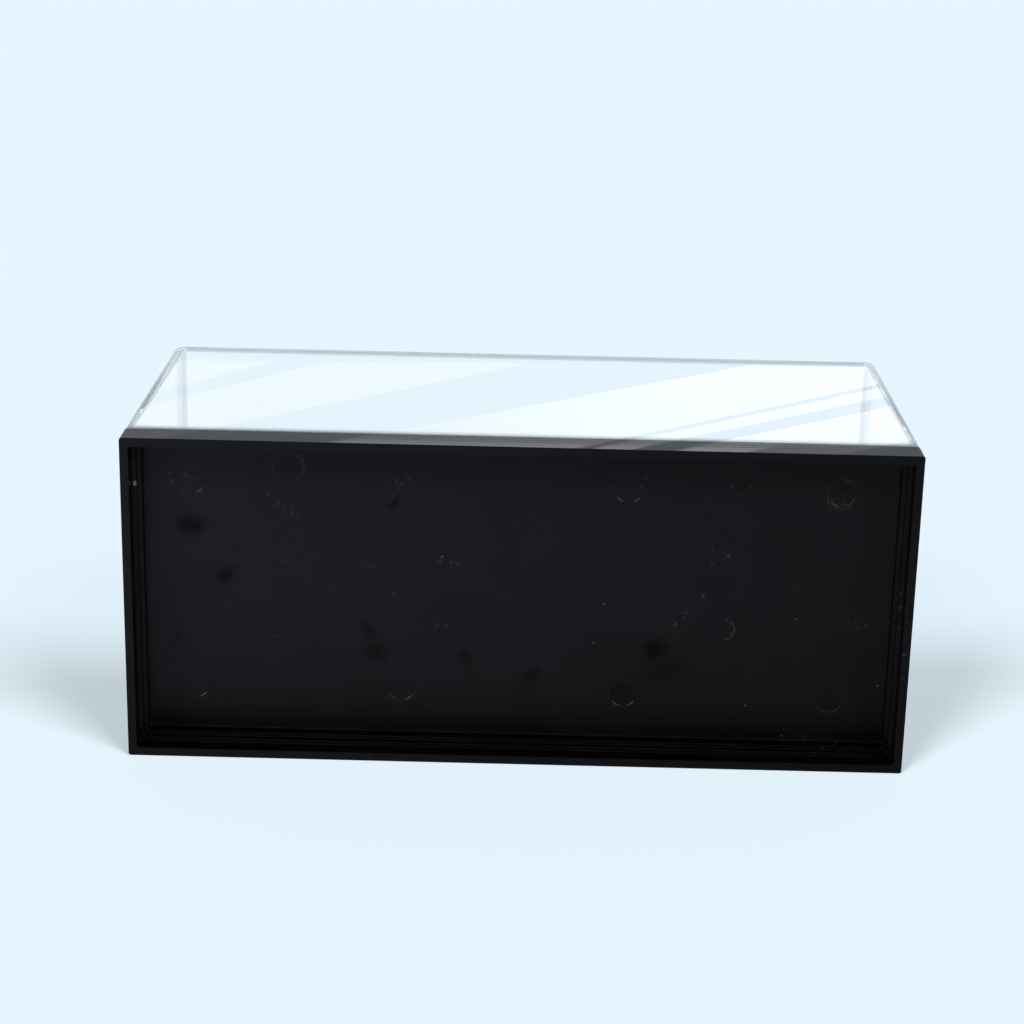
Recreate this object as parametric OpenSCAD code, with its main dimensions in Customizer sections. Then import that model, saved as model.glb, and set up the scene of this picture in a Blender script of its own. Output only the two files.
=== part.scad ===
// Display case for a scale model: a clear moulded cover that stands on a black moulded base.
// Millimetres. The origin is on the table under the middle of the base, +X runs along the length,
// +Y from the front to the back, +Z up.

/* [Case] */
// Length of the case, over the base
case_length = 240; // [170:1:360]
// Depth of the case from front to back, over the base
case_depth = 103; // [80:1:200]
// Height from the table to the top of the cover
case_height = 113.5; // [60:0.5:240]

/* [Cover] */
// Thickness of the clear walls
cover_wall = 2; // [1.5:0.1:3]
// Lean of the walls, in degrees, that lets the cover leave its mould
cover_draft = 0.5; // [0:0.1:1.5]
// Outside radius of the upright edges where the cover stands on the base
cover_foot_r = 1.5; // [0.8:0.1:4]
// Outside radius of the edges and corners round the top
cover_top_r = 4; // [1:0.1:6]
// Radius inside the upright edges where the cover stands on the base
cover_inner_r = 0.6; // [0.3:0.1:2]

/* [Base] */
// Height of the outer side, up to the flange that carries the cover
skirt_height = 10.5; // [8:0.5:20]
// Radius of the upright corners
skirt_corner_r = 0.8; // [0.3:0.1:4]
// Rise of the deck above the flange, inside the cover
deck_rise = 3.2; // [2:0.1:8]
// Thickness of the deck
deck_thickness = 2; // [1.5:0.1:4]
// Wall under the edge of the deck
deck_wall = 2.9; // [2:0.1:5]
// Radius of the deck's corners
deck_corner_r = 1; // [0.6:0.1:3]
// Gap between the deck and the cover that fits over it
cover_clearance = 0.3; // [0.2:0.05:1]

/* [Hollow underside] */
// Width of the rim that stands on the table
rim_width = 2.7; // [2:0.1:3.5]
// Width of the ledge next to the rim
lower_ledge_width = 1.3; // [0.6:0.1:1.5]
// Height of the step between the two ledges
ledge_step = 2.2; // [1:0.1:4]
// Thickness of the flange above the upper ledge
flange_thickness = 2.8; // [2:0.1:4]
// Radius in the upright corners of the hollow
hollow_corner_r = 0.8; // [0.3:0.1:3]

/* [Ejector marks] */
// Diameter of the round marks that the mould's pins leave under the deck
pin_d = 8; // [5:0.5:12]
// Depth of the marks
pin_depth = 0.2; // [0.1:0.05:0.4]
// Distance of the outer pins from the ends of the base
pin_end_inset = 22; // [14:0.5:32]
// Distance of the two rows of pins from the long sides
pin_side_inset = 17.5; // [13:0.5:30]
// Distance between the two inner pins of a row
pin_inner_pitch = 69; // [20:1:80]
// Distance between the two pins beside the front
pin_front_pitch = 139; // [120:1:144]
// Distance of those two pins from the front
pin_front_inset = 11.5; // [11.5:0.5:13]

/* [Hidden] */
$fn = 32;

// Overshoot of a cut past the face it opens
cut = 1;
// Height of the discs that shape the cover's foot
foot_disc = 0.01;

// Base: the deck's outline and heights, and the three steps of the hollow as [inset, roof]
deck_inset = cover_wall + cover_clearance;
deck_top = skirt_height + deck_rise;
deck_underside = deck_top - deck_thickness;
upper_ledge_z = skirt_height - flange_thickness;
lower_ledge_z = upper_ledge_z - ledge_step;
hollow_steps = [
    [rim_width, lower_ledge_z],
    [rim_width + lower_ledge_width, upper_ledge_z],
    [deck_inset + deck_wall, deck_underside],
];

// Cover: its own height, how far its walls lean in for each millimetre of height, and the radius inside its
// top, which keeps the wall even round the edges
cover_height = case_height - skirt_height;
lean = tan(cover_draft);
cover_inner_top_r = max(cover_top_r - cover_wall, cover_inner_r);

// Ejector marks: two rows along the long sides, and a pair beside the front
pin_columns = [case_length / 2 - pin_end_inset, pin_inner_pitch / 2];
row_y = case_depth / 2 - pin_side_inset;
front_y = pin_front_inset - case_depth / 2;
pin_places = concat(
    [for (side = [-1, 1], x = pin_columns, y = [-row_y, row_y]) [side * x, y]],
    [for (side = [-1, 1]) [side * pin_front_pitch / 2, front_y]]
);

// Rectangle with round corners, centred on the origin
module rounded_rect(length, depth, r) {
    square([length - 2 * r, depth], center = true);
    square([length, depth - 2 * r], center = true);
    for (x = [-1, 1], y = [-1, 1])
        translate([x * (length / 2 - r), y * (depth / 2 - r)]) circle(r);
}

// Slab of the case's outline, drawn in all round by inset, between two heights
module slab(inset, r, bottom, top)
    translate([0, 0, bottom])
        linear_extrude(top - bottom)
            rounded_rect(case_length - 2 * inset, case_depth - 2 * inset, r);

// Ball whose poles and equator lie exactly on its radius
module ball(r)
    rotate_extrude()
        intersection() {
            circle(r);
            translate([0, -r]) square([r, 2 * r]);
        }

// Block with leaning walls: upright edges of foot_r at its foot, edges and corners of top_r at its top
module drafted_block(length, depth, height, foot_r, top_r) {
    ball_z = height - top_r;
    ball_inset = lean * ball_z + top_r;
    hull()
        for (x = [-1, 1], y = [-1, 1]) {
            translate([x * (length / 2 - foot_r), y * (depth / 2 - foot_r), 0])
                cylinder(h = foot_disc, r = foot_r);
            translate([x * (length / 2 - ball_inset), y * (depth / 2 - ball_inset), ball_z])
                ball(top_r);
        }
}

// Five-sided clear shell, open below, whose foot is flush with the base's outer side
module clear_cover() {
    mouth = 2 * (cover_wall - lean * cut);
    color([0.86, 0.94, 0.98, 0.3])
        translate([0, 0, skirt_height])
            difference() {
                drafted_block(case_length, case_depth, cover_height, cover_foot_r, cover_top_r);
                translate([0, 0, -cut])
                    drafted_block(case_length - mouth, case_depth - mouth,
                                  cover_height - cover_wall + cut, cover_inner_r, cover_inner_top_r);
            }
}

// Sunk rounds under the deck where the mould's pins pushed the base out
module ejector_marks()
    for (place = pin_places)
        translate([place.x, place.y, deck_underside - cut])
            cylinder(h = cut + pin_depth, d = pin_d);

// Skirt with a flange for the cover, a raised deck that locates it, and a stepped hollow below
module base()
    color([0.06, 0.06, 0.07])
        difference() {
            union() {
                slab(0, skirt_corner_r, 0, skirt_height);
                slab(deck_inset, deck_corner_r, 0, deck_top);
            }
            for (step = hollow_steps)
                slab(step[0], hollow_corner_r, -cut, step[1]);
            ejector_marks();
        }

clear_cover();
base();
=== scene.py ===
"""Display case for a scale model, over its CAD frame: a clear moulded cover on a black moulded base."""

import math

import bmesh
import bpy
from bpy.props import FloatProperty, FloatVectorProperty, PointerProperty
from bpy.types import Operator, Panel, PropertyGroup
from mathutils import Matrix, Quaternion, Vector
from mathutils.geometry import delaunay_2d_cdt


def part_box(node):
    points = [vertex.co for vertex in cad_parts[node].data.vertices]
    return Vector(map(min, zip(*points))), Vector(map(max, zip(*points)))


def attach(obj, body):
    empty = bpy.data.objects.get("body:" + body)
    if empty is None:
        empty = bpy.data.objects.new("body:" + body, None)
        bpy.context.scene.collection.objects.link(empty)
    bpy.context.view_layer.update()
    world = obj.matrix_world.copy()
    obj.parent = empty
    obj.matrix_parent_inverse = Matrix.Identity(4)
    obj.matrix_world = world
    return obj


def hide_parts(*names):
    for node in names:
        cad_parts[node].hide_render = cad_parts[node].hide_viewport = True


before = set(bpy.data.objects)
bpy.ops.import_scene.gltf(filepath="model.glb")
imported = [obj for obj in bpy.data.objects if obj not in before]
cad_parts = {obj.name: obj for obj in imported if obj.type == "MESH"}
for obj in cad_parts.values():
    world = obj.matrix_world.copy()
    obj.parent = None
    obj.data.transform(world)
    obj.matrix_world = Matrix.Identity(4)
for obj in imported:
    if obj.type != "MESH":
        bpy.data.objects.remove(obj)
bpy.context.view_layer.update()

bl_info = {
    "name": "Display Case",
    "version": (1, 0, 0),
    "blender": (4, 5, 0),
    "location": "View3D > Sidebar > Display Case",
    "description": "Clear cover and black base of a display case for a scale model",
    "category": "Add Mesh",
}

MM = 0.001

# Outlines and heights that the CAD frame fixes
base_low, base_high = (Vector(corner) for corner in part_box("base"))
cover_low, cover_high = (Vector(corner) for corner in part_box("clear_cover"))
HALF_LENGTH = (base_high.x - base_low.x) / 2
HALF_DEPTH = (base_high.y - base_low.y) / 2
DECK_TOP = base_high.z
FLANGE_TOP = cover_low.z
COVER_TOP = cover_high.z

# Segments of a quarter turn, of a rolled edge, round an ejector mark, and down its slope
CORNER_STEPS = 8
EDGE_STEPS = 5
MARK_STEPS = 40
SLOPE_STEPS = 6

# How far inside the outline the loft of a piece begins and ends
LOFT_INSET = 20 * MM

# Points closer than the weld become one, edges shorter than the sliver go, and the fill takes points
# closer than its step for one
WELD = 0.001 * MM
SLIVER = 0.0005 * MM
FILL_STEP = 0.0001 * MM

# Share of a mark's radius inside which a face of the fill lies on the mark
INSIDE_MARK = 0.98

# Share of a rolled edge's dark tint, which is painted shade, and of its haze on the inner edges above the
# short walls
SHORT_SHARE = 0.85

# Ejector marks under the deck: x and y in millimetres, how brightly the slope round each one shines on the
# left and on the right, and how pale the plastic round it is
EJECTOR_MARKS = [
    (-100.0, -35.1, 0.3, 0.85, 0.2), (97.6, -35.3, 0.75, 0.55, 0.6),
    (-99.9, 32.1, 0.0, 0.9, 0.0), (97.5, 32.4, 0.15, 0.4, 0.1),
    (-36.0, -35.0, 0.0, 0.0, 0.0), (32.8, -35.0, 0.7, 0.7, 0.1),
    (-36.0, 31.8, 0.6, 0.85, 0.1), (33.3, 32.0, 0.85, 1.0, 0.15),
    (-70.8, -40.1, 0.0, 0.0, 0.7), (66.7, -39.9, 0.45, 0.4, 0.1),
]

# Wiped and greasy places under the deck: x, y, length, width in millimetres, turn in degrees, and strength
SMUDGES = [
    (-100.5, -20.7, 14.0, 11.5, 0, 0.75),
    (-90.0, -4.5, 12.0, 6.0, -40, 0.7),
    (-105.5, 17.0, 3.0, 8.0, 15, 0.5),
    (-46.0, 13.0, 6.5, 10.0, -15, 0.5),
    (-44.0, 20.0, 12.0, 9.0, 20, 0.6),
    (-16.5, 20.5, 5.0, 7.0, -20, 0.6),
    (4.5, 26.0, 9.0, 6.0, -30, 0.7),
    (3.0, 31.0, 12.0, 8.0, 0, 0.3),
    (42.5, 16.5, 13.0, 10.0, 10, 0.8),
    (46.0, 24.0, 24.0, 20.0, 0, 0.4),
    (33.0, 32.0, 18.0, 15.0, 0, 0.45),
    (-38.5, -29.0, 7.0, 4.0, -40, 0.5),
]

# Clouds of dust under the deck, given in the same way but without a strength
DUST_CLOUDS = [
    (-68.0, -11.0, 24.0, 16.0, 0),
    (-44.0, -9.0, 16.0, 10.0, 10),
    (-40.0, 0.0, 12.0, 9.0, 0),
    (-24.0, -12.0, 22.0, 12.0, 20),
    (-72.0, -28.0, 22.0, 16.0, 20),
    (-103.0, -36.0, 22.0, 16.0, 0),
    (-78.0, 15.0, 14.0, 10.0, 40),
    (-24.0, 9.0, 10.0, 16.0, 0),
    (52.0, 2.0, 28.0, 14.0, -30),
    (66.0, 9.0, 14.0, 16.0, 0),
    (46.0, 8.0, 14.0, 12.0, 30),
    (60.0, -14.0, 30.0, 14.0, 0),
    (97.0, -33.0, 22.0, 18.0, 0),
    (108.0, 6.0, 24.0, 14.0, 10),
    (34.0, -38.0, 24.0, 12.0, 0),
    (-36.0, -36.0, 18.0, 12.0, 0),
    (97.0, 46.0, 44.0, 9.0, 0),
    (117.0, 10.0, 8.0, 90.0, 0),
]

# Larger grains of dust, given like the clouds, and a bent fibre in four pieces that also have a strength
GRAINS = [
    (-23.7, -12.2, 1.0, 0.8, 20),
    (26.5, 2.0, 0.9, 0.7, 0),
    (85.9, 5.5, 0.7, 0.6, 60),
    (23.5, 15.0, 0.7, 0.6, 10),
    (71.7, 34.8, 0.8, 0.6, 0),
    (83.5, 44.8, 0.9, 0.8, 0),
    (112.5, 27.0, 0.8, 0.6, 40),
    (66.2, 7.4, 2.7, 0.4, 60, 0.5),
    (67.0, 9.4, 2.7, 0.45, 85, 0.5),
    (66.4, 11.3, 2.7, 0.45, 125, 0.5),
    (64.8, 12.5, 2.4, 0.4, 160, 0.5),
]

# One grain on the ledge beside the left end
LEDGE_GRAIN = (-116.2, -35.6, 1.9, 1.8, 0)

# Pale rings round the marks: outer and inner diameter in millimetres
RING_OUTSIDE = 12.0
RING_INSIDE = 8.6

# Shining places on the slope of a mark, in millimetres: how far they lie to the side and to the back of
# its middle, and their diameter
SHINE_SIDE = 3.2
SHINE_BACK = 2.8
SHINE_DIAMETER = 7.0

# Shares of a mark's depth over which its slope begins and ends
SLOPE_FOOT = (0.05, 0.2)
SLOPE_TOP = (0.8, 0.95)

# Heights over which the haze begins and ends, from the deck's underside, over which it leaves the rim, and
# within which it lies on a ledge
PANEL_START = (-0.4 * MM, -0.1 * MM)
PANEL_END = (0.5 * MM, 0.9 * MM)
RIM_END = (0.05 * MM, 0.3 * MM)
LEDGE_REACH = 0.3 * MM

# How far the edges of smudges and clouds stray, and those of the pale rings
SMUDGE_STRAY = 5 * MM
RING_STRAY = 2 * MM

# Fineness of the black plastic's patterns
RAGGED_SCALE = 260.0
FLECK_SCALE = 640.0
STRENGTH_SCALE = 420.0
SPECK_SCALE = 900.0
MOTTLE_SCALE = 45.0
PATCH_SCALE = 160.0
POLISH_SCALE = 90.0
SATIN_SCALE = 70.0
WEAR_SCALE = 420.0
MOULD_GRAIN_SCALE = 2600.0

# Fineness of the clear plastic's handling haze and flow waves, and the tint of its shadow
HAZE_SCALE = 40.0
WAVE_SCALE = 14.0
SHADOW_TINT = (0.95, 0.965, 0.975)

# Floor and backdrop: their reach, their gap to the case, and how far the floor runs in under the base
PAPER_REACH = 20.0
PAPER_GAP = 0.02 * MM
FLOOR_LAP = 0.6 * MM

# Reflector cards: height above the table, reach to either side, colour, the span over which they brighten,
# the distances over which their near edge fades, and the tilt and distances of the line where they end
CARD_HEIGHT = 600 * MM
CARD_REACH = 450 * MM
CARD_COLOUR = (0.9, 0.95, 1.0)
CARD_SPAN = 130 * MM
CARD_NEAR_EDGE = (-228 * MM, -217 * MM)
CARD_END_TILT = -0.0155
CARD_END = (-178.2 * MM, -176.2 * MM)

# How many times light may turn inside the clear walls
LIGHT_TURNS = 100

BASE_NAME = "moulded_base"
COVER_NAME = "moulded_cover"


class CoverSizes(PropertyGroup):
    """Sizes of the clear cover."""
    wall: FloatProperty(
        name="Wall", description="Thickness of the clear walls",
        default=2.0 * MM, min=1.0 * MM, max=4.0 * MM, unit="LENGTH")
    draft: FloatProperty(
        name="Draft", description="Lean of the walls that lets the cover leave its mould",
        default=math.radians(0.5), min=0.0, max=math.radians(2.0), subtype="ANGLE")
    end_draft: FloatProperty(
        name="End draft", description="Lean of the outer faces of the short walls",
        default=math.radians(0.14), min=0.0, max=math.radians(2.0), subtype="ANGLE")
    foot_radius: FloatProperty(
        name="Foot radius", description="Radius of the upright edges at the foot",
        default=1.5 * MM, min=0.5 * MM, max=5.0 * MM, unit="LENGTH")
    top_radius: FloatProperty(
        name="Top radius", description="Radius of the edges and corners round the top",
        default=4.0 * MM, min=0.5 * MM, max=6.0 * MM, unit="LENGTH")
    inner_radius: FloatProperty(
        name="Inner radius", description="Radius inside the upright edges at the foot",
        default=0.6 * MM, min=0.2 * MM, max=2.0 * MM, unit="LENGTH")
    foot_edge: FloatProperty(
        name="Foot edge", description="Rounding of the two edges of the foot",
        default=0.25 * MM, min=0.05 * MM, max=0.8 * MM, unit="LENGTH")
    air_gap: FloatProperty(
        name="Air gap", description="Air between the foot and the flange it stands on",
        default=0.03 * MM, min=0.0, max=0.2 * MM, unit="LENGTH")


class BaseSizes(PropertyGroup):
    """Sizes of the black base."""
    corner_radius: FloatProperty(
        name="Corner radius", description="Radius of the upright corners",
        default=0.8 * MM, min=0.5 * MM, max=4.0 * MM, unit="LENGTH")
    deck_inset: FloatProperty(
        name="Deck inset", description="Distance of the deck's side from the outer side",
        default=2.3 * MM, min=1.5 * MM, max=5.0 * MM, unit="LENGTH")
    deck_thickness: FloatProperty(
        name="Deck thickness", description="Thickness of the deck above the hollow",
        default=2.0 * MM, min=1.0 * MM, max=4.0 * MM, unit="LENGTH")
    skirt_lean: FloatProperty(
        name="Skirt lean", description="How far the outer side leans in from the table to the flange",
        default=0.09 * MM, min=0.0, max=0.5 * MM, unit="LENGTH")
    rim_width: FloatProperty(
        name="Rim width", description="Width of the rim that stands on the table",
        default=2.7 * MM, min=1.5 * MM, max=5.0 * MM, unit="LENGTH")
    lower_ledge: FloatProperty(
        name="Lower ledge", description="Distance of the step behind the lower ledge from the outer side",
        default=4.0 * MM, min=2.0 * MM, max=6.0 * MM, unit="LENGTH")
    upper_ledge: FloatProperty(
        name="Upper ledge", description="Distance of the wall behind the upper ledge from the outer side",
        default=5.2 * MM, min=2.5 * MM, max=8.0 * MM, unit="LENGTH")
    lower_ledge_height: FloatProperty(
        name="Lower ledge height", description="Height of the lower ledge above the table",
        default=5.5 * MM, min=1.0 * MM, max=10.0 * MM, unit="LENGTH")
    upper_ledge_height: FloatProperty(
        name="Upper ledge height", description="Height of the upper ledge above the table",
        default=7.7 * MM, min=2.0 * MM, max=12.0 * MM, unit="LENGTH")
    edge_radius: FloatProperty(
        name="Edge radius", description="Rounding of the moulded edges",
        default=0.3 * MM, min=0.05 * MM, max=0.6 * MM, unit="LENGTH")
    mark_diameter: FloatProperty(
        name="Mark diameter", description="Diameter of the ejector marks",
        default=8.8 * MM, min=4.0 * MM, max=12.0 * MM, unit="LENGTH")
    mark_depth: FloatProperty(
        name="Mark depth", description="Depth of the ejector marks",
        default=0.36 * MM, min=0.05 * MM, max=0.5 * MM, unit="LENGTH")
    mark_slope: FloatProperty(
        name="Mark slope", description="Width of the slope round an ejector mark",
        default=0.75 * MM, min=0.1 * MM, max=1.5 * MM, unit="LENGTH")


class CaseFinish(PropertyGroup):
    """Colours, haze and gloss of the two plastics."""
    black: FloatVectorProperty(
        name="Black", description="Colour of the polished black plastic",
        default=(0.0026, 0.0025, 0.0030), min=0.0, max=1.0, size=3, subtype="COLOR")
    haze: FloatVectorProperty(
        name="Haze", description="Colour of the hazy black plastic under the deck",
        default=(0.0134, 0.0140, 0.0174), min=0.0, max=1.0, size=3, subtype="COLOR")
    rim_haze: FloatProperty(
        name="Rim haze", description="Share of the haze on the rim",
        default=0.85, min=0.0, max=1.0)
    ledge_haze: FloatProperty(
        name="Ledge haze", description="Share of the haze on the ledges",
        default=0.85, min=0.0, max=1.0)
    black_gloss: FloatProperty(
        name="Black gloss", description="Strength of the black plastic's reflections",
        default=0.038, min=0.0, max=1.0)
    dust: FloatVectorProperty(
        name="Dust", description="Colour of the dust under the deck",
        default=(0.16, 0.165, 0.175), min=0.0, max=1.0, size=3, subtype="COLOR")
    clear: FloatVectorProperty(
        name="Clear", description="Tint of the clear plastic",
        default=(0.999, 0.9995, 1.0), min=0.0, max=1.0, size=3, subtype="COLOR")
    # Painted shade: this dark tint on the rolled edges stands in for the dark that the rolled clear edges
    # show
    painted_edge_shade: FloatVectorProperty(
        name="Clear edge", description="Tint of the clear plastic at its rolled edges",
        default=(0.32, 0.33, 0.38), min=0.0, max=1.0, size=3, subtype="COLOR")
    clear_corner: FloatVectorProperty(
        name="Clear corner", description="Tint of the clear plastic at its upright corners",
        default=(1.0, 1.0, 1.0), min=0.0, max=1.0, size=3, subtype="COLOR")
    edge_haze: FloatProperty(
        name="Edge haze", description="Roughness of the clear plastic at its rolled edges",
        default=0.2, min=0.0, max=1.0)
    corner_haze: FloatProperty(
        name="Corner haze", description="Roughness of the clear plastic at its upright corners",
        default=0.3, min=0.0, max=1.0)
    # Painted reflection: the base's black painted onto the foot of the long clear walls, fading upward over
    # the foot zone
    painted_foot_reflection: FloatProperty(
        name="Foot black", description="Share of the base's black at the foot of the long clear walls",
        default=0.95, min=0.0, max=1.0)
    painted_foot_reflection_zone: FloatProperty(
        name="Foot zone", description="Height above the base over which that black fades",
        default=5.0 * MM, min=1.0 * MM, max=20.0 * MM, unit="LENGTH")


class CaseStudio(PropertyGroup):
    """Backdrop, lamps and camera."""
    backdrop: FloatVectorProperty(
        name="Backdrop", description="Pale colour of floor and backdrop",
        default=(0.799, 0.913, 0.991), min=0.0, max=1.0, size=3, subtype="COLOR")
    room: FloatVectorProperty(
        name="Room", description="Colour of the room's dim sides in the edges of the clear plastic",
        default=(0.40, 0.39, 0.46), min=0.0, max=1.0, size=3, subtype="COLOR")
    lamp: FloatProperty(
        name="Lamp", description="Strength of each soft lamp",
        default=1.43, min=0.0, max=10.0)
    fill: FloatProperty(
        name="Fill", description="Strength of the lamps that fill in the underside",
        default=0.5, min=0.0, max=10.0)
    glint: FloatProperty(
        name="Glint", description="Strength of the lamps that only glints on the underside show",
        default=5.5, min=0.0, max=20.0)
    bounce: FloatProperty(
        name="Bounce", description="Strength of the light thrown back by the floor before the underside",
        default=2.2, min=0.0, max=10.0)
    ambient: FloatProperty(
        name="Ambient", description="Strength of the even light from all round",
        default=0.12, min=0.0, max=2.0)
    paper_glow: FloatProperty(
        name="Paper glow", description="Share of the paper's brightness that no shadow takes away",
        default=0.25, min=0.0, max=1.0)
    dim_side: FloatProperty(
        name="Dim side", description="Brightness of the dim room that gloss shows from below",
        default=0.12, min=0.0, max=1.0)
    bright_side: FloatProperty(
        name="Bright side", description="Brightness of the pale room that gloss shows from elsewhere",
        default=1.1, min=0.0, max=3.0)
    card: FloatProperty(
        name="Card", description="Brightness of the reflector cards that the cover mirrors",
        default=1.28, min=0.0, max=5.0)
    bright_card_left: FloatProperty(
        name="Bright card left", description="Brightness of the left end of the brighter cards",
        default=1.12, min=0.0, max=5.0)
    bright_card_right: FloatProperty(
        name="Bright card right", description="Brightness of the right end of the brighter cards",
        default=1.72, min=0.0, max=5.0)
    bright_card_near: FloatProperty(
        name="Bright card near", description="What the brighter cards gain at the edge near the underside",
        default=1.4, min=0.0, max=5.0)
    camera_place: FloatVectorProperty(
        name="Camera place", description="Where the camera stands",
        default=(0.00170, -0.26529, -0.69423), size=3, subtype="XYZ", unit="LENGTH")
    camera_aim: FloatVectorProperty(
        name="Camera aim", description="Point on the underside that the camera looks at",
        default=(-0.00250, -0.03116, 0.0), size=3, subtype="XYZ", unit="LENGTH")
    camera_roll: FloatProperty(
        name="Camera roll", description="Turn of the camera about its line of sight",
        default=math.radians(2.33), subtype="ANGLE")
    camera_lens: FloatProperty(
        name="Camera lens", description="Focal length in millimetres",
        default=85.957, min=10.0, max=300.0)


# Mesh tools

def rounded_outline(inset, radius):
    """Points of the case's outline drawn in by inset, anticlockwise, each as x, y, outward x, outward y and
    its share of a rolled corner."""
    radius = max(radius, 0.0)
    along = HALF_LENGTH - inset - radius
    across = HALF_DEPTH - inset - radius
    points = []
    for quarter, (sx, sy) in enumerate([(1, 1), (-1, 1), (-1, -1), (1, -1)]):
        for step in range(CORNER_STEPS + 1):
            angle = math.radians(90) * (quarter + step / CORNER_STEPS)
            out_x = math.cos(angle)
            out_y = math.sin(angle)
            rolled = float(0 < step < CORNER_STEPS)
            x = sx * along + radius * out_x
            y = sy * across + radius * out_y
            points.append((x, y, out_x, out_y, rolled))
    return points


def rolled_profile(corners):
    """Rounds a profile's corners, each an inset, a height, an outline radius and an edge radius. The first
    and the last are its ends. Gives stations: an inset, a height, an outline radius, the outward and the
    upward part of the normal, and a share of a roll."""
    places = [Vector((-inset, height)) for inset, height, _, _ in corners]
    stations = []
    for before, here, after, corner in zip(places, places[1:], places[2:], corners[1:]):
        inset, _, outline_radius, edge_radius = corner
        arriving = (here - before).normalized()
        leaving = (after - here).normalized()
        turn = math.atan2(arriving.x * leaving.y - arriving.y * leaving.x, arriving.dot(leaving))
        side = math.copysign(1.0, turn)
        normal = Vector((-arriving.y, arriving.x))
        start = here - arriving * edge_radius * math.tan(abs(turn) / 2)
        centre = start + normal * side * edge_radius
        for step in range(EDGE_STEPS + 1):
            angle = turn * step / EDGE_STEPS
            rolled = Vector((
                normal.x * math.cos(angle) - normal.y * math.sin(angle),
                normal.x * math.sin(angle) + normal.y * math.cos(angle),
            ))
            place = centre - rolled * side * edge_radius
            radius = outline_radius + inset + place.x
            stations.append((-place.x, place.y, radius, rolled.x, rolled.y, float(0 < step < EDGE_STEPS)))
    return stations


class Moulding:
    """One moulded piece: vertices that know their own normal, joined by faces."""

    def __init__(self):
        self.form = bmesh.new()
        self.normal = self.form.verts.layers.float_vector.new("form_normal")
        self.edge = self.form.verts.layers.float.new("rolled_edge")
        self.corner = self.form.verts.layers.float.new("rolled_corner")

    def point(self, place, normal, edge=0.0, corner=0.0):
        """Adds a vertex with its normal and its shares of a rolled edge and of an upright corner."""
        vert = self.form.verts.new(place)
        vert[self.normal] = normal
        vert[self.edge] = edge
        vert[self.corner] = corner
        return vert

    def station(self, inset, height, radius, outward, upward, rolled):
        """Adds a ring of vertices along the case's outline."""
        ring = []
        for x, y, out_x, out_y, corner in rounded_outline(inset, radius):
            short_share = 0.0 if outward > 0 else SHORT_SHARE
            edge = rolled * (short_share + (1 - short_share) * out_y ** 2)
            normal = (out_x * outward, out_y * outward, upward)
            ring.append(self.point((x, y, height), normal, edge, corner * abs(outward)))
        return ring

    def join(self, first, second):
        """Joins two closed rings of the same count by quads."""
        count = len(first)
        for k in range(count):
            ahead = (k + 1) % count
            self.form.faces.new((first[k], second[k], second[ahead], first[ahead]))

    def loft(self, stations):
        """Joins the rings of a whole profile and gives them."""
        rings = [self.station(*station) for station in stations]
        for first, second in zip(rings, rings[1:]):
            self.join(first, second)
        return rings

    def finish(self, name, material):
        """Welds the points that fall together and gives the finished object."""
        bmesh.ops.remove_doubles(self.form, verts=self.form.verts, dist=WELD)
        bmesh.ops.dissolve_degenerate(self.form, edges=self.form.edges, dist=SLIVER)
        mesh = bpy.data.meshes.new(name)
        self.form.to_mesh(mesh)
        self.form.free()
        normals = [tuple(item.vector) for item in mesh.attributes["form_normal"].data]
        mesh.attributes.remove(mesh.attributes["form_normal"])
        mesh.shade_smooth()
        mesh.normals_split_custom_set_from_vertices(normals)
        mesh.materials.append(material)
        piece = bpy.data.objects.new(name, mesh)
        bpy.context.scene.collection.objects.link(piece)
        return piece


def sunk_mark(moulding, x, y, height, sizes):
    """Adds an ejector mark's sloped wall and floor, and gives its outer ring."""
    outer = sizes.mark_diameter / 2
    rings = []
    for step in range(SLOPE_STEPS + 1):
        share = step / SLOPE_STEPS
        radius = outer - sizes.mark_slope * share
        rise = sizes.mark_depth * share * share * (3 - 2 * share)
        steep = sizes.mark_depth * 6 * share * (1 - share) / sizes.mark_slope
        normal_out = -steep / math.hypot(1, steep)
        normal_up = -1 / math.hypot(1, steep)
        ring = []
        for k in range(MARK_STEPS):
            angle = 2 * math.pi * k / MARK_STEPS
            out = Vector((math.cos(angle), math.sin(angle)))
            place = (x + radius * out.x, y + radius * out.y, height + rise)
            ring.append(moulding.point(place, (out.x * normal_out, out.y * normal_out, normal_up)))
        rings.append(ring)
    for first, second in zip(rings, rings[1:]):
        moulding.join(first, second)
    moulding.form.faces.new(list(reversed(rings[-1])))
    return rings[0]


def fill_round_marks(moulding, border, marks, centres, mark_radius):
    """Fills the flat underside between its border and the outer rings of the marks."""
    loops = [border] + marks
    verts = [vert for loop in loops for vert in loop]
    edges = []
    first = 0
    for loop in loops:
        count = len(loop)
        edges += [(first + k, first + (k + 1) % count) for k in range(count)]
        first += count
    flat = [Vector((vert.co.x, vert.co.y)) for vert in verts]
    inside_only = 1
    places, _, faces, sources, _, _ = delaunay_2d_cdt(flat, edges, [], inside_only, FILL_STEP)
    for face in faces:
        middle = sum((places[k] for k in face), Vector((0, 0))) / len(face)
        if any((middle - centre).length < mark_radius * INSIDE_MARK for centre in centres):
            continue
        corners = [verts[sources[k][0]] for k in face]
        a, b, c = (places[k] for k in face)
        if (b - a).cross(c - a) > 0:
            corners.reverse()
        moulding.form.faces.new(corners)


# Materials

def add_node(tree, kind, sockets=None, **settings):
    """Adds a node, sets its options, and fills its sockets by values or links."""
    node = tree.nodes.new(kind)
    for name, value in settings.items():
        setattr(node, name, value)
    for socket, value in (sockets or {}).items():
        if isinstance(value, bpy.types.NodeSocket):
            tree.links.new(value, node.inputs[socket])
        else:
            node.inputs[socket].default_value = value
    return node


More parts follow.
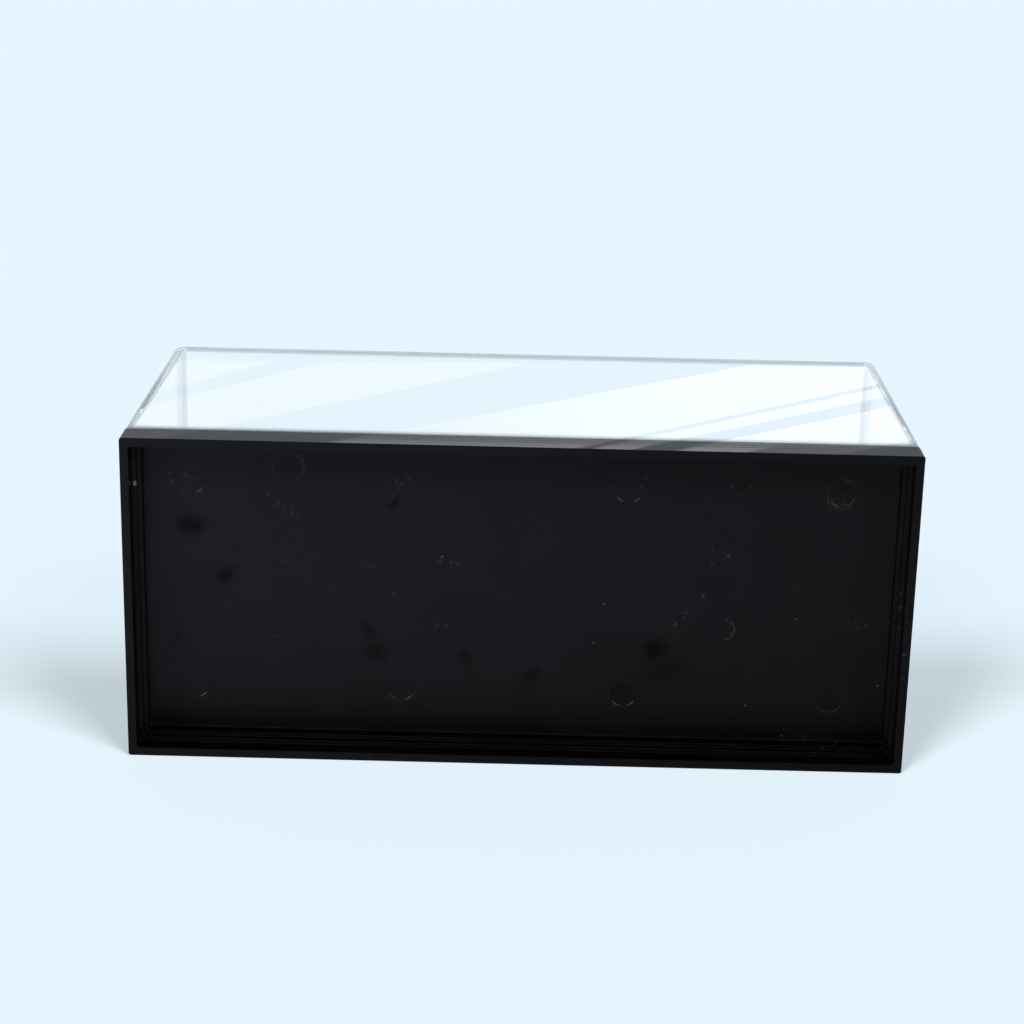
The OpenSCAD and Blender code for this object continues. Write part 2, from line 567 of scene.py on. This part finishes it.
def new_material(name):
    """Gives an empty node material, its tree and its output node."""
    material = bpy.data.materials.new(name)
    material.use_nodes = True
    material.node_tree.nodes.clear()
    output = add_node(material.node_tree, "ShaderNodeOutputMaterial")
    return material, material.node_tree, output


def calc(tree, operation, *values):
    """Adds a sum, product or other step on numbers."""
    return add_node(tree, "ShaderNodeMath", dict(enumerate(values)), operation=operation).outputs[0]


def vector_calc(tree, operation, *values):
    """Adds a sum, product or other step on vectors."""
    return add_node(tree, "ShaderNodeVectorMath", dict(enumerate(values)), operation=operation).outputs[0]


def split(tree, vector):
    """Gives the three numbers of a vector."""
    return tuple(add_node(tree, "ShaderNodeSeparateXYZ", {0: vector}).outputs)


def spread(tree, value, low, high, start=0.0, end=1.0):
    """Maps a number from low and high to start and end, smoothly."""
    sockets = {"Value": value, "From Min": low, "From Max": high, "To Min": start, "To Max": end}
    return add_node(tree, "ShaderNodeMapRange", sockets, interpolation_type="SMOOTHSTEP").outputs[0]


def noise(tree, coords, scale, detail=2.0, rough=0.5):
    """Adds a noise and gives its number."""
    sockets = {"Vector": coords, "Scale": scale, "Detail": detail, "Roughness": rough}
    return add_node(tree, "ShaderNodeTexNoise", sockets).outputs["Fac"]


def blend_colour(tree, share, first, second):
    """Mixes two colours."""
    sockets = {"Factor": share, 6: first, 7: second}
    return add_node(tree, "ShaderNodeMix", sockets, data_type="RGBA").outputs[2]


def spots(tree, coords, places, soft_from):
    """Gives a mask of oval spots, each x, y, length and width in millimetres, a turn in degrees, and a
    strength where it isn't 1."""
    mask = None
    for x, y, length, width, turn, *strength in places:
        sockets = {
            "Vector": coords,
            "Location": (x * MM, y * MM, 0.0),
            "Rotation": (0.0, 0.0, math.radians(turn)),
            "Scale": (length / 2 * MM, width / 2 * MM, 1.0),
        }
        local = add_node(tree, "ShaderNodeMapping", sockets, vector_type="TEXTURE").outputs[0]
        reach = add_node(tree, "ShaderNodeVectorMath", {0: local}, operation="LENGTH").outputs["Value"]
        spot = spread(tree, reach, soft_from, 1.0, strength[0] if strength else 1.0, 0.0)
        mask = spot if mask is None else calc(tree, "MAXIMUM", mask, spot)
    return mask


def with_alpha(colour):
    """Gives a colour as four numbers."""
    return (*colour, 1.0)


def near_height(tree, height, level, reach):
    """Gives a mask of what lies within reach of a level."""
    away = calc(tree, "ABSOLUTE", calc(tree, "SUBTRACT", height, level))
    return spread(tree, away, reach / 2, reach, 1.0, 0.0)


def black_plastic(finish, underside, mark_depth, ledges):
    """Black moulded plastic: polished outside, and hazy with wiped places and dust underneath, where the
    haze carries painted light and shade.
    """
    material, tree, output = new_material("black_moulded_plastic")
    coords = add_node(tree, "ShaderNodeTexCoord").outputs["Object"]
    along, across, height = split(tree, coords)
    flat = vector_calc(tree, "MULTIPLY", coords, (1, 1, 0))
    black = with_alpha(finish.black)
    grey = with_alpha(finish.dust)

    # The flat underside with its marks, the rim and the ledges, by height
    above = spread(tree, height, underside + PANEL_START[0], underside + PANEL_START[1])
    below = spread(tree, height, underside + PANEL_END[0], underside + PANEL_END[1], 1.0, 0.0)
    panel = calc(tree, "MULTIPLY", above, below)
    rim = spread(tree, height, *RIM_END, finish.rim_haze, 0.0)
    dulled = calc(tree, "MAXIMUM", panel, rim)
    for level in ledges:
        ledge = calc(tree, "MULTIPLY", near_height(tree, height, level, LEDGE_REACH), finish.ledge_haze)
        dulled = calc(tree, "MAXIMUM", dulled, ledge)

    # Wiped places with ragged edges
    sockets = {"Vector": flat, "Scale": RAGGED_SCALE, "Detail": 3.0}
    ragged = add_node(tree, "ShaderNodeTexNoise", sockets).outputs["Color"]
    ragged = vector_calc(tree, "SUBTRACT", ragged, (0.5, 0.5, 0.5))
    warped = vector_calc(tree, "MULTIPLY_ADD", ragged, (SMUDGE_STRAY, SMUDGE_STRAY, 0.0), flat)
    nudged = vector_calc(tree, "MULTIPLY_ADD", ragged, (RING_STRAY, RING_STRAY, 0.0), flat)
    wiped = calc(tree, "MULTIPLY", spots(tree, warped, SMUDGES, 0.1), panel)

    # Coarse dust in clouds, fine dust everywhere, single larger grains, and one on the lower ledge
    thin = spread(tree, spots(tree, warped, DUST_CLOUDS, 0.2), 0.0, 1.0, 0.74, 0.575)
    flecks = noise(tree, coords, FLECK_SCALE, 2.0, 0.6)
    fleck = spread(tree, calc(tree, "SUBTRACT", flecks, thin), 0.0, 0.1)
    strength = spread(tree, noise(tree, coords, STRENGTH_SCALE), 0.35, 0.7, 0.03, 0.17)
    fleck = calc(tree, "MULTIPLY", fleck, strength)
    specks = spread(tree, noise(tree, coords, SPECK_SCALE, 2.0, 0.6), 0.655, 0.78, 0.0, 0.06)
    fleck = calc(tree, "MAXIMUM", fleck, specks)
    grains = calc(tree, "MULTIPLY", spots(tree, flat, GRAINS, 0.2), 0.7)
    dust = calc(tree, "MULTIPLY", calc(tree, "MAXIMUM", fleck, grains), below)
    on_ledge = near_height(tree, height, ledges[0], LEDGE_REACH)
    stray = calc(tree, "MULTIPLY", spots(tree, flat, [LEDGE_GRAIN], 0.5), on_ledge)
    dust = calc(tree, "MAXIMUM", dust, calc(tree, "MULTIPLY", stray, 3.0))

    # Colour: a film of haze that carries painted light and shade, lighter towards the left end and darker
    # towards the back, pale rings round the marks, and dust
    mottle = spread(tree, noise(tree, coords, MOTTLE_SCALE, 5.0, 0.6), 0.3, 0.7)
    painted_light_along = spread(tree, along, -HALF_LENGTH, HALF_LENGTH, 1.0, 0.56)
    painted_shade_across = spread(tree, across, -HALF_DEPTH / 5, HALF_DEPTH, 1.0, 0.6)
    haze_with_painted_shading = calc(tree, "MULTIPLY", painted_light_along, painted_shade_across)
    haze_with_painted_shading = calc(tree, "MULTIPLY", haze_with_painted_shading, spread(tree, mottle, 0.0, 1.0, 0.92, 1.0))
    hazy = blend_colour(tree, haze_with_painted_shading, black, with_alpha(finish.haze))
    clean = blend_colour(tree, dulled, black, hazy)
    rubbed = blend_colour(tree, wiped, clean, black)
    outside = [(x, y, RING_OUTSIDE, RING_OUTSIDE, 0, pale) for x, y, _, _, pale in EJECTOR_MARKS]
    inside = [(x, y, RING_INSIDE, RING_INSIDE, 0) for x, y, *_ in EJECTOR_MARKS]
    ring = calc(tree, "SUBTRACT", spots(tree, nudged, outside, 0.75), spots(tree, nudged, inside, 0.85))
    patchy = spread(tree, noise(tree, coords, PATCH_SCALE, 3.0), 0.4, 0.65, 0.01, 0.085)
    patchy = calc(tree, "MULTIPLY", patchy, below)
    ring = calc(tree, "MULTIPLY", calc(tree, "MAXIMUM", ring, 0.0), patchy)
    colour = blend_colour(tree, dust, blend_colour(tree, ring, rubbed, grey), grey)

    # Gloss: polished outside, satin below, smoother where it is wiped and on the slopes round the marks
    polish = spread(tree, noise(tree, coords, POLISH_SCALE, 4.0), 0.3, 0.7, 0.012, 0.03)
    satin = spread(tree, noise(tree, coords, SATIN_SCALE, 5.0), 0.3, 0.7, 0.38, 0.46)
    rough = calc(tree, "MULTIPLY_ADD", dulled, calc(tree, "SUBTRACT", satin, polish), polish)
    rough = calc(tree, "SUBTRACT", rough, calc(tree, "MULTIPLY", wiped, 0.1))
    slope_foot = [underside + share * mark_depth for share in SLOPE_FOOT]
    slope_top = [underside + share * mark_depth for share in SLOPE_TOP]
    slope = spread(tree, height, *slope_foot)
    slope = calc(tree, "MULTIPLY", slope, spread(tree, height, *slope_top, 1.0, 0.0))
    sides = []
    for x, y, left, right, _ in EJECTOR_MARKS:
        for way, shine in ((-1, left), (1, right)):
            sides.append((x + way * SHINE_SIDE, y + SHINE_BACK, SHINE_DIAMETER, SHINE_DIAMETER, 0, shine))
    worn = spread(tree, noise(tree, coords, WEAR_SCALE, 2.0), 0.35, 0.6, 0.75, 1.0)
    shiny = calc(tree, "MULTIPLY", spots(tree, flat, sides, 0.6), worn)
    change = calc(tree, "SUBTRACT", spread(tree, shiny, 0.0, 1.0, 0.62, 0.2), rough)
    rough = calc(tree, "MULTIPLY_ADD", slope, change, rough)
    rough = calc(tree, "MAXIMUM", rough, calc(tree, "MULTIPLY", dust, 0.8))

    # Fine moulded grain
    grain = noise(tree, coords, MOULD_GRAIN_SCALE, 3.0)
    sockets = {"Height": grain, "Strength": calc(tree, "MULTIPLY", dulled, 0.12), "Distance": 0.04 * MM}
    bump = add_node(tree, "ShaderNodeBump", sockets).outputs[0]
    sockets = {
        "Base Color": colour,
        "Roughness": rough,
        "IOR": 1.5,
        "Specular IOR Level": finish.black_gloss,
        "Normal": bump,
    }
    shader = add_node(tree, "ShaderNodeBsdfPrincipled", sockets)
    tree.links.new(shader.outputs[0], output.inputs["Surface"])
    return material


def clear_plastic(finish):
    """Clear moulded plastic: polished, with faint flow waves and some haze, that lets lamps through, with
    painted shade at its rolled edges and a painted reflection of the base's black at the foot of its long
    walls.
    """
    material, tree, output = new_material("clear_moulded_plastic")
    coords = add_node(tree, "ShaderNodeTexCoord").outputs["Object"]
    edge = add_node(tree, "ShaderNodeAttribute", attribute_name="rolled_edge").outputs["Fac"]
    corner = add_node(tree, "ShaderNodeAttribute", attribute_name="rolled_corner").outputs["Fac"]
    rough = spread(tree, noise(tree, coords, HAZE_SCALE, 4.0), 0.45, 0.75, 0.0, 0.02)
    rough = calc(tree, "MAXIMUM", rough, calc(tree, "MULTIPLY", edge, finish.edge_haze))
    rough = calc(tree, "MAXIMUM", rough, calc(tree, "MULTIPLY", corner, finish.corner_haze))
    # Painted shade: the rolled edges are tinted dark to stand in for the dark that the rolled clear edges
    # show
    tint = blend_colour(tree, edge, with_alpha(finish.clear), with_alpha(finish.painted_edge_shade))
    tint = blend_colour(tree, corner, tint, with_alpha(finish.clear_corner))

    # Painted reflection: while the cover stands on the base, the foot of its long walls is painted with the
    # base's black, which stands in for the base mirrored there
    geometry = add_node(tree, "ShaderNodeNewGeometry").outputs
    _, _, height = split(tree, geometry["Position"])
    _, facing, _ = split(tree, geometry["Normal"])
    foot = spread(tree, height, FLANGE_TOP, FLANGE_TOP + finish.painted_foot_reflection_zone, finish.painted_foot_reflection, 0.0)
    foot = calc(tree, "MULTIPLY", foot, calc(tree, "MULTIPLY", facing, facing))
    tint = blend_colour(tree, foot, tint, with_alpha(finish.black))

    # Faint waves where the plastic flowed into the mould
    waves = noise(tree, coords, WAVE_SCALE, 1.0)
    sockets = {"Height": waves, "Strength": 0.1, "Distance": 0.2 * MM}
    bump = add_node(tree, "ShaderNodeBump", sockets).outputs[0]
    sockets = {
        "Base Color": tint,
        "Roughness": rough,
        "IOR": 1.49,
        "Transmission Weight": 1.0,
        "Normal": bump,
    }
    shader = add_node(tree, "ShaderNodeBsdfPrincipled", sockets)
    shadow = add_node(tree, "ShaderNodeBsdfTransparent", {"Color": with_alpha(SHADOW_TINT)})
    path = add_node(tree, "ShaderNodeLightPath")
    sockets = {0: path.outputs["Is Shadow Ray"], 1: shader.outputs[0], 2: shadow.outputs[0]}
    mixed = add_node(tree, "ShaderNodeMixShader", sockets)
    tree.links.new(mixed.outputs[0], output.inputs["Surface"])
    return material


def backdrop_paper(studio):
    """Pale matt paper that shows from its front only."""
    material, tree, output = new_material("backdrop_paper")
    matt = add_node(tree, "ShaderNodeBsdfDiffuse", {"Color": with_alpha(studio.backdrop)})
    glow = add_node(tree, "ShaderNodeEmission", {0: with_alpha(studio.backdrop), 1: studio.paper_glow})
    front = add_node(tree, "ShaderNodeAddShader", {0: matt.outputs[0], 1: glow.outputs[0]})
    back = add_node(tree, "ShaderNodeBsdfTransparent")
    facing = add_node(tree, "ShaderNodeNewGeometry").outputs["Backfacing"]
    mixed = add_node(tree, "ShaderNodeMixShader", {0: facing, 1: front.outputs[0], 2: back.outputs[0]})
    tree.links.new(mixed.outputs[0], output.inputs["Surface"])
    material.cycles.emission_sampling = "NONE"
    return material


def lit_card(name, left, right, near):
    """Cool white glowing card that only gloss shows, by its brightness at the left and right end and what
    its near edge adds."""
    material, tree, output = new_material(name)
    x, y, _ = split(tree, add_node(tree, "ShaderNodeTexCoord").outputs["Object"])
    along = spread(tree, x, -CARD_SPAN, CARD_SPAN, left, right)
    gain = spread(tree, y, *CARD_NEAR_EDGE, near, 0.0)
    sockets = {"Color": with_alpha(CARD_COLOUR), "Strength": calc(tree, "ADD", along, gain)}
    glow = add_node(tree, "ShaderNodeEmission", sockets)
    bare = add_node(tree, "ShaderNodeBsdfTransparent")
    past = spread(tree, calc(tree, "MULTIPLY_ADD", x, CARD_END_TILT, y), *CARD_END)
    mixed = add_node(tree, "ShaderNodeMixShader", {0: past, 1: glow.outputs[0], 2: bare.outputs[0]})
    tree.links.new(mixed.outputs[0], output.inputs["Surface"])
    material.cycles.emission_sampling = "NONE"
    return material


# Pieces

class DISPLAYCASE_OT_base(Operator):
    """Make the black base: skirt, flange, raised deck and stepped hollow with ejector marks"""
    bl_idname = "displaycase.base"
    bl_label = "Black Base"

    def execute(self, context):
        sizes = context.scene.display_case_base
        underside = DECK_TOP - sizes.deck_thickness
        radius = sizes.corner_radius
        edge = sizes.edge_radius
        soft = edge * 1.4
        crisp = edge * 0.8
        profile = [
            (LOFT_INSET, DECK_TOP, 0, 0),
            (sizes.deck_inset, DECK_TOP, radius, soft),
            (sizes.deck_inset, FLANGE_TOP, radius, edge),
            (sizes.skirt_lean, FLANGE_TOP, radius, edge),
            (0, 0, radius, edge),
            (sizes.rim_width, 0, radius, edge),
            (sizes.rim_width, sizes.lower_ledge_height, radius, crisp),
            (sizes.lower_ledge, sizes.lower_ledge_height, radius, crisp),
            (sizes.lower_ledge, sizes.upper_ledge_height, radius, crisp),
            (sizes.upper_ledge, sizes.upper_ledge_height, radius, crisp),
            (sizes.upper_ledge, underside, radius, soft),
            (LOFT_INSET, underside, 0, 0),
        ]
        moulding = Moulding()
        rings = moulding.loft(rolled_profile(profile))
        moulding.form.faces.new(rings[0])
        centres = [Vector((x * MM, y * MM)) for x, y, *_ in EJECTOR_MARKS]
        marks = [sunk_mark(moulding, centre.x, centre.y, underside, sizes) for centre in centres]
        fill_round_marks(moulding, rings[-1], marks, centres, sizes.mark_diameter / 2)
        ledges = [sizes.lower_ledge_height, sizes.upper_ledge_height]
        material = black_plastic(context.scene.display_case_finish, underside, sizes.mark_depth, ledges)
        piece = moulding.finish(BASE_NAME, material)
        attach(piece, "base")
        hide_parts("base")
        return {"FINISHED"}


class DISPLAYCASE_OT_cover(Operator):
    """Make the clear cover: a five-sided shell with leaning walls and rolled edges"""
    bl_idname = "displaycase.cover"
    bl_label = "Clear Cover"

    def execute(self, context):
        sizes = context.scene.display_case_cover
        lean = math.tan(sizes.draft)
        foot = FLANGE_TOP + sizes.air_gap
        ceiling = COVER_TOP - sizes.wall
        ceiling_radius = max(sizes.top_radius - sizes.wall, sizes.inner_radius)
        profile = [
            (LOFT_INSET, COVER_TOP, 0, 0),
            (lean * (COVER_TOP - FLANGE_TOP), COVER_TOP, sizes.top_radius, sizes.top_radius),
            (0, foot, sizes.foot_radius, sizes.foot_edge),
            (sizes.wall, foot, sizes.inner_radius, sizes.foot_edge),
            (sizes.wall + lean * (ceiling - FLANGE_TOP), ceiling, ceiling_radius, ceiling_radius),
            (LOFT_INSET, ceiling, 0, 0),
        ]
        moulding = Moulding()
        rings = moulding.loft(rolled_profile(profile))
        moulding.form.faces.new(rings[0])
        moulding.form.faces.new(list(reversed(rings[-1])))
        # The outer half of the rings stands more upright at the short walls
        upright = lean - math.tan(sizes.end_draft)
        for ring in rings[:len(rings) // 2]:
            for vert in ring:
                vert.co.x += math.copysign(upright * (vert.co.z - FLANGE_TOP), vert.co.x)
        piece = moulding.finish(COVER_NAME, clear_plastic(context.scene.display_case_finish))
        piece.visible_diffuse = False
        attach(piece, "cover")
        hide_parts("clear_cover")
        return {"FINISHED"}


# Stage

def stage_sheet(name, verts, faces, material):
    """Gives a flat sheet of the stage, which lights no matt surface and casts no shadow."""
    mesh = bpy.data.meshes.new(name)
    mesh.from_pydata(verts, [], faces)
    mesh.materials.append(material)
    sheet = bpy.data.objects.new(name, mesh)
    sheet.visible_shadow = False
    sheet.visible_diffuse = False
    bpy.context.scene.collection.objects.link(sheet)
    return sheet


def card_strip(name, near, far, material):
    """Gives one long card above the case that only gloss shows, between two lines, each given by its
    distance in millimetres and its tilt."""
    corners = [(-CARD_REACH, near), (CARD_REACH, near), (CARD_REACH, far), (-CARD_REACH, far)]
    verts = [(x, distance * MM + tilt * x, CARD_HEIGHT) for x, (distance, tilt) in corners]
    strip = stage_sheet(name, verts, [(0, 1, 2, 3)], material)
    strip.visible_camera = False
    strip.visible_transmission = False
    return strip


def soft_sun(name, towards, strength, spread_angle, lit):
    """Adds a soft distant lamp that stands towards a direction and lights only the objects in lit."""
    data = bpy.data.lights.new(name, "SUN")
    data.energy = strength
    data.angle = math.radians(spread_angle)
    lamp = bpy.data.objects.new(name, data)
    lamp.rotation_euler = Vector(towards).to_track_quat("Z", "Y").to_euler()
    bpy.context.scene.collection.objects.link(lamp)
    group = bpy.data.collections.new(name + "_lights")
    for piece in lit:
        group.objects.link(piece)
    lamp.light_linking.receiver_collection = group
    return lamp


def studio_world(studio):
    """Pale room for the eye, gloss and clear plastic, dim from below, and an even weak light for matt
    surfaces."""
    world = bpy.data.worlds.new("studio")
    world.use_nodes = True
    tree = world.node_tree
    tree.nodes.clear()
    output = add_node(tree, "ShaderNodeOutputWorld")
    path = add_node(tree, "ShaderNodeLightPath").outputs
    seen = calc(tree, "MAXIMUM", path["Is Camera Ray"], path["Is Glossy Ray"])
    seen = calc(tree, "MAXIMUM", seen, path["Is Transmission Ray"])
    _, depth, rise = split(tree, add_node(tree, "ShaderNodeTexCoord").outputs["Generated"])

    # Clear plastic shows the dimmer sides of the room below, and high up except towards the front
    high = calc(tree, "MULTIPLY", spread(tree, rise, 0.5, 0.8), spread(tree, depth, -0.24, -0.16))
    dim = calc(tree, "MAXIMUM", spread(tree, rise, -0.6, -0.1, 1.0, 0.0), high)
    through = calc(tree, "MULTIPLY", dim, path["Is Transmission Ray"])
    tone = blend_colour(tree, through, with_alpha(studio.backdrop), with_alpha(studio.room))

    # Gloss shows a dim room below and a bright one elsewhere
    mirrored = spread(tree, rise, -0.6, -0.15, studio.dim_side, studio.bright_side)
    mirrored = calc(tree, "SUBTRACT", mirrored, 1.0)
    level = calc(tree, "MULTIPLY_ADD", path["Is Glossy Ray"], mirrored, 1.0)
    room = add_node(tree, "ShaderNodeBackground", {"Color": tone, "Strength": level})
    even = add_node(tree, "ShaderNodeBackground", {"Color": (1, 1, 1, 1), "Strength": studio.ambient})
    mixed = add_node(tree, "ShaderNodeMixShader", {0: seen, 1: even.outputs[0], 2: room.outputs[0]})
    tree.links.new(mixed.outputs[0], output.inputs["Surface"])
    world.cycles.sampling_method = "NONE"
    return world


class DISPLAYCASE_OT_stage(Operator):
    """Make the stage: floor, backdrop, lamps, reflector cards and camera"""
    bl_idname = "displaycase.stage"
    bl_label = "Stage"

    def execute(self, context):
        scene = context.scene
        studio = scene.display_case_studio
        paper = backdrop_paper(studio)
        sides = [(-1, -1), (1, -1), (1, 1), (-1, 1)]

        # Floor, open under the base, and the backdrop behind the case
        half_length = HALF_LENGTH - FLOOR_LAP
        half_depth = HALF_DEPTH - FLOOR_LAP
        verts = [(PAPER_REACH * a, PAPER_REACH * b, -PAPER_GAP) for a, b in sides]
        verts += [(half_length * a, half_depth * b, -PAPER_GAP) for a, b in sides]
        faces = [(k, (k + 1) % 4, 4 + (k + 1) % 4, 4 + k) for k in range(4)]
        floor = stage_sheet("floor", verts, faces, paper)
        verts = [(PAPER_REACH * a, HALF_DEPTH + PAPER_GAP, PAPER_REACH * b) for a, b in sides]
        wall = stage_sheet("backdrop", verts, [(0, 1, 2, 3)], paper)
        wall.visible_glossy = False

        # Lamps that cast the two shadows on the backdrop, lamps for the underside, and lamps from above
        base = bpy.data.objects[BASE_NAME]
        lamp = studio.lamp
        soft_sun("lamp_wall_right", (0.471, -0.714, -0.517), lamp, 25, [wall])
        soft_sun("lamp_wall_left", (-0.393, -0.661, -0.639), lamp, 18, [wall])
        bounce = soft_sun("lamp_bounce", (-0.12, 0.66, -0.74), studio.bounce, 40, [base])
        bounce.visible_glossy = False
        for side, name in ((-1, "left"), (1, "right")):
            fill = soft_sun("lamp_fill_" + name, (side * 0.62, -0.58, -0.53), studio.fill, 10, [base])
            fill.visible_glossy = False
            glint = soft_sun("lamp_glint_" + name, (side * 0.7, -0.52, -0.49), studio.glint, 38, [base])
            glint.visible_diffuse = False
        soft_sun("lamp_top_left", (-0.5, -0.3, 0.81), lamp, 18, [base, floor])
        soft_sun("lamp_top_right", (0.5, 0.3, 0.81), lamp, 18, [base, floor])

        # Reflector cards, each between a near and a far line
        left_end = studio.bright_card_left
        right_end = studio.bright_card_right
        plain = lit_card("lit_card", studio.card, studio.card, 0.0)
        bright = lit_card("bright_card", left_end, right_end, studio.bright_card_near)
        fading = lit_card("fading_card", right_end, right_end, studio.card - right_end)
        strips = [
            ((-268.0, 0.245), (-255.0, 0.245), fading),
            ((-255.0, 0.245), (-245.6, 0.245), bright),
            ((-239.3, 0.243), (-234.3, 0.248), bright),
            ((-232.1, 0.248), (-201.7, 0.216), bright),
            ((-177.8, 0.234), (-149.2, 0.274), plain),
            ((-138.5, 0.295), (-72.0, 0.295), plain),
        ]
        for number, (near, far, material) in enumerate(strips, 1):
            card_strip(f"card_{number}", near, far, material)

        # Room and camera
        scene.world = studio_world(studio)
        data = bpy.data.cameras.new("camera")
        data.lens = studio.camera_lens
        data.sensor_width = 36.0
        data.clip_start = 0.01
        data.clip_end = 100.0
        camera = bpy.data.objects.new("camera", data)
        place = Vector(studio.camera_place)
        sight = (Vector(studio.camera_aim) - place).to_track_quat("-Z", "Y")
        camera.location = place
        camera.rotation_mode = "QUATERNION"
        camera.rotation_quaternion = sight @ Quaternion((0, 0, 1), studio.camera_roll)
        scene.collection.objects.link(camera)
        scene.camera = camera
        scene.view_settings.view_transform = "Standard"
        scene.cycles.max_bounces = LIGHT_TURNS
        scene.cycles.glossy_bounces = LIGHT_TURNS
        scene.cycles.transmission_bounces = LIGHT_TURNS
        return {"FINISHED"}


class DISPLAYCASE_PT_sidebar(Panel):
    """Sizes, colours and steps of the display case"""
    bl_label = "Display Case"
    bl_idname = "DISPLAYCASE_PT_sidebar"
    bl_space_type = "VIEW_3D"
    bl_region_type = "UI"
    bl_category = "Display Case"

    def draw(self, context):
        column = self.layout.column()
        for step in STEPS:
            column.operator(step.bl_idname)
        for name in GROUPS:
            group = getattr(context.scene, name)
            box = self.layout.box()
            for value in group.__annotations__:
                box.prop(group, value)


GROUPS = {
    "display_case_cover": CoverSizes,
    "display_case_base": BaseSizes,
    "display_case_finish": CaseFinish,
    "display_case_studio": CaseStudio,
}
STEPS = [DISPLAYCASE_OT_base, DISPLAYCASE_OT_cover, DISPLAYCASE_OT_stage]


def register():
    """Registers the classes and puts their values on the scene."""
    for kind in [*GROUPS.values(), *STEPS, DISPLAYCASE_PT_sidebar]:
        bpy.utils.register_class(kind)
    for name, kind in GROUPS.items():
        setattr(bpy.types.Scene, name, PointerProperty(type=kind))


def unregister():
    """Takes the values off the scene and the classes out."""
    for name in GROUPS:
        delattr(bpy.types.Scene, name)
    for kind in reversed([*GROUPS.values(), *STEPS, DISPLAYCASE_PT_sidebar]):
        bpy.utils.unregister_class(kind)


def main():
    """Makes the whole scene."""
    register()
    bpy.ops.displaycase.base()
    bpy.ops.displaycase.cover()
    bpy.ops.displaycase.stage()


if __name__ == "__main__":
    main()
